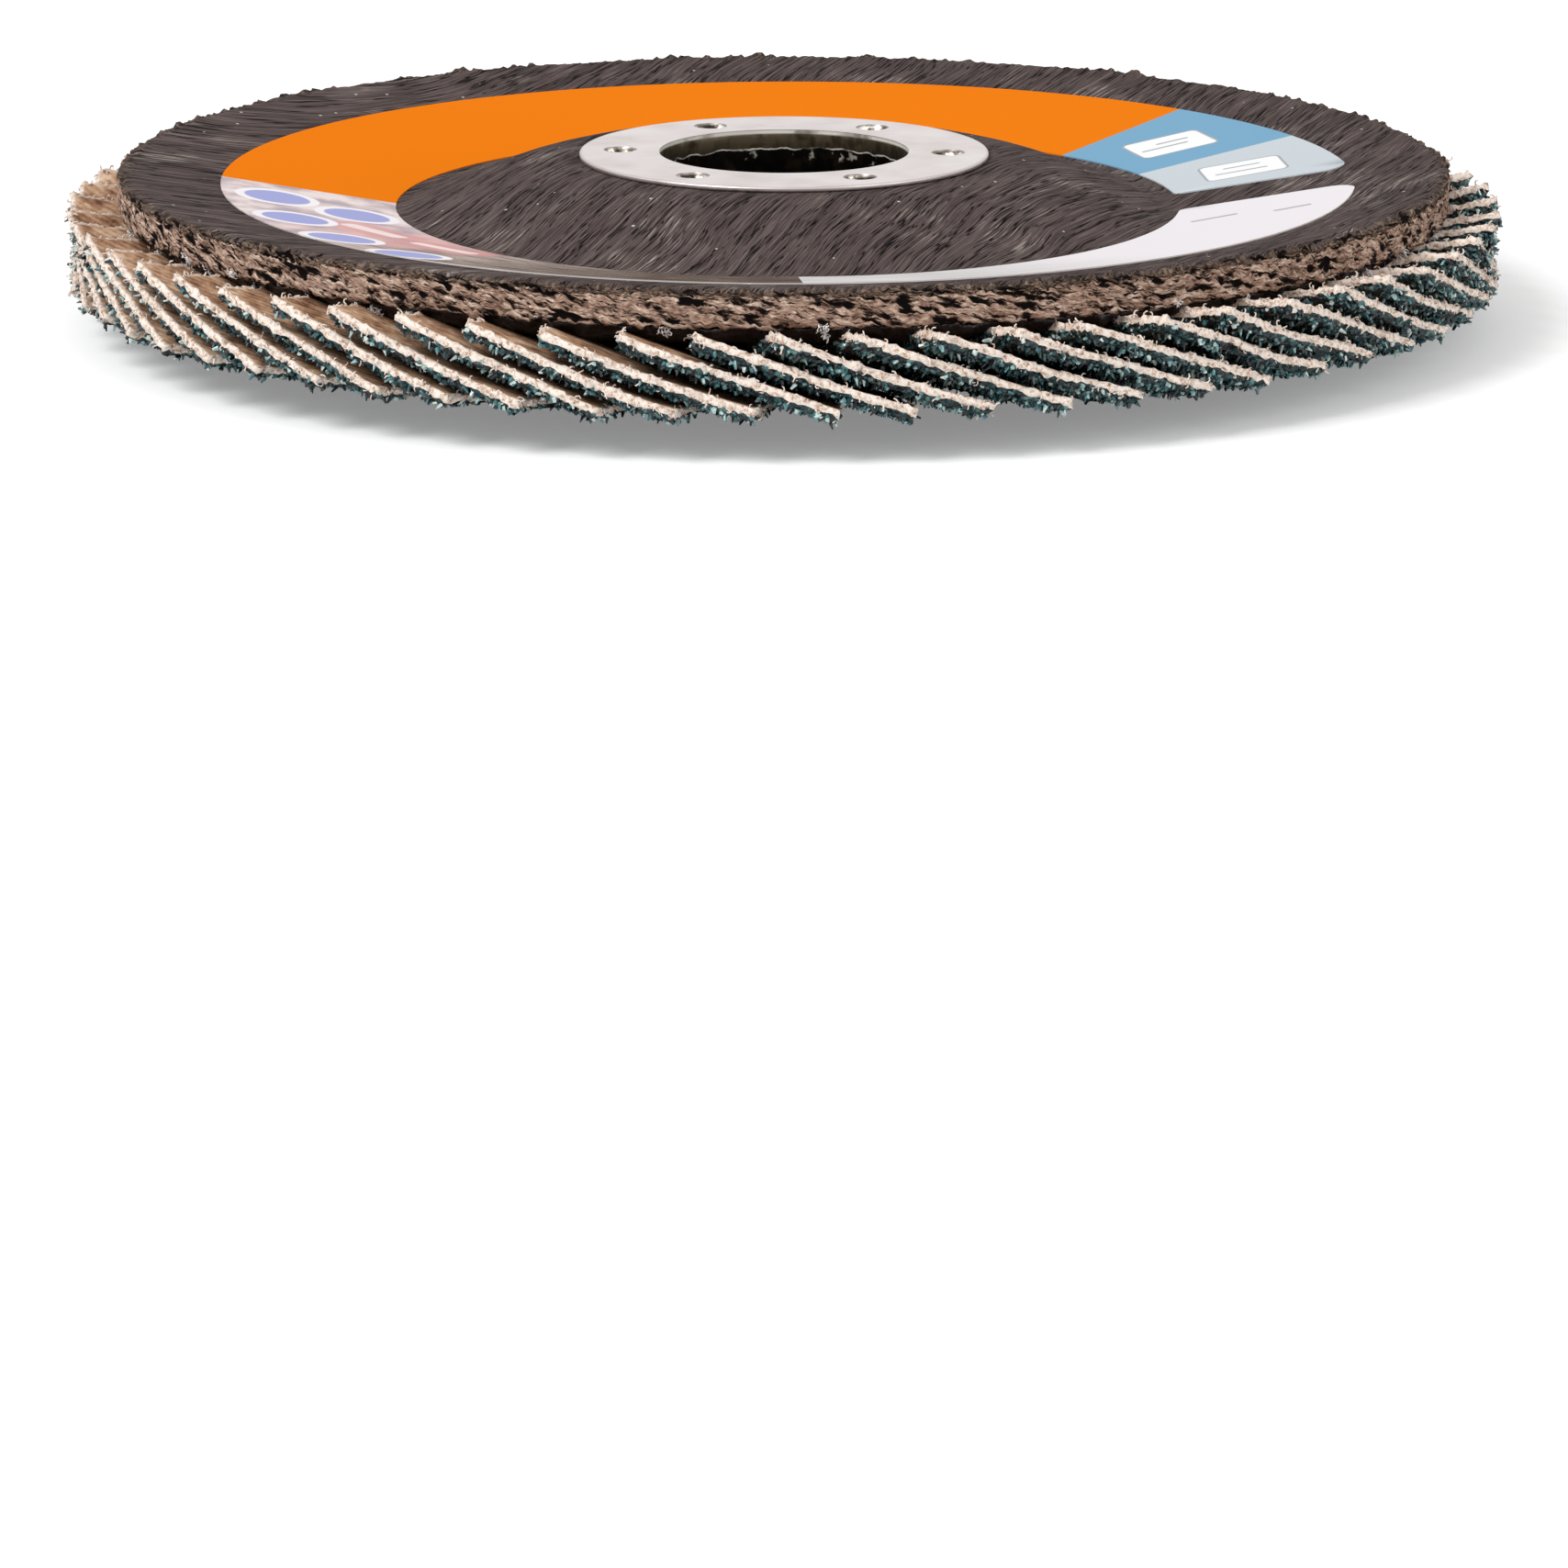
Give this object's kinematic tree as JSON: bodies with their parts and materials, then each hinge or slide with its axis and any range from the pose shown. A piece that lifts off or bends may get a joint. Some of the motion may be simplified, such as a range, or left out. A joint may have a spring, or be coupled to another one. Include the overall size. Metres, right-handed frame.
{
  "type": "flap disc",
  "caption": "Conical flap disc for an angle grinder: overlapping abrasive cloth flaps glued under a domed fibre plate with a steel-lined arbor bore.",
  "frame": {"origin": "centre of the bore on the outer (clamp) face of the steel ring", "axes": "+Z along the bore axis, out of the clamp face and away from the flaps' working side; +X towards the gap in the label; the disc stands on its flaps, which reach furthest down -Z"},
  "size_m": [0.1276, 0.1276, 0.0152],
  "materials": {
    "fibre_plate": "rough moulded dark fibre board",
    "ring_steel": "satin bare steel",
    "black_glue": "glossy cured adhesive",
    "label_print": "glossy printed paper",
    "abrasive_cloth": "coated abrasive cloth with mineral grain"
  },
  "bodies": {
    "root": {"backing_plate": "fibre_plate", "arbor_ring": "ring_steel", "clinch_washer": "ring_steel", "adhesive_bed": "black_glue", "label": "label_print", "flap_pair_01": "abrasive_cloth", "flap_pair_02": "abrasive_cloth", "flap_pair_03": "abrasive_cloth", "flap_pair_04": "abrasive_cloth", "flap_pair_05": "abrasive_cloth", "flap_pair_06": "abrasive_cloth", "flap_pair_07": "abrasive_cloth", "flap_pair_08": "abrasive_cloth", "flap_pair_09": "abrasive_cloth", "flap_pair_10": "abrasive_cloth", "flap_pair_11": "abrasive_cloth", "flap_pair_12": "abrasive_cloth", "flap_pair_13": "abrasive_cloth", "flap_pair_14": "abrasive_cloth", "flap_pair_15": "abrasive_cloth", "flap_pair_16": "abrasive_cloth", "flap_pair_17": "abrasive_cloth", "flap_pair_18": "abrasive_cloth", "flap_pair_19": "abrasive_cloth", "flap_pair_20": "abrasive_cloth", "flap_pair_21": "abrasive_cloth", "flap_pair_22": "abrasive_cloth", "flap_pair_23": "abrasive_cloth", "flap_pair_24": "abrasive_cloth", "flap_pair_25": "abrasive_cloth", "flap_pair_26": "abrasive_cloth", "flap_pair_27": "abrasive_cloth", "flap_pair_28": "abrasive_cloth", "flap_pair_29": "abrasive_cloth", "flap_pair_30": "abrasive_cloth"}
  },
  "joints": []
}
